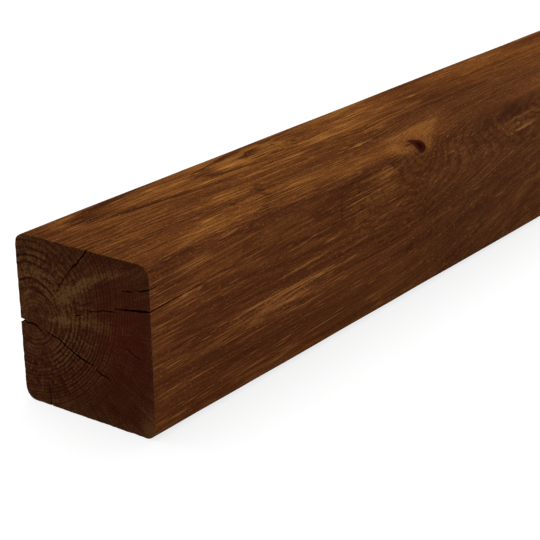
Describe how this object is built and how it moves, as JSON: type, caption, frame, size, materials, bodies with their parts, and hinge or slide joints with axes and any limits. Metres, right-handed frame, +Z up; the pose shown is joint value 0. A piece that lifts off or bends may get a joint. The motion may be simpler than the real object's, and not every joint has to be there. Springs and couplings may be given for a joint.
{
  "type": "treated timber post",
  "caption": "Square planed and pressure-treated timber post with eased arrises, sawn ends and drying checks.",
  "frame": {"origin": "middle of the underside, on the floor that the post lies on", "axes": "+Y along the post, away from the checked end that is seen first; +Z up, across the section's height; +X across its width"},
  "size_m": [0.097, 1.8, 0.1],
  "materials": {
    "post": "brown preservative treatment, planed and slightly furry, matte to satin"
  },
  "bodies": {
    "root": {"post": "post"}
  },
  "joints": []
}
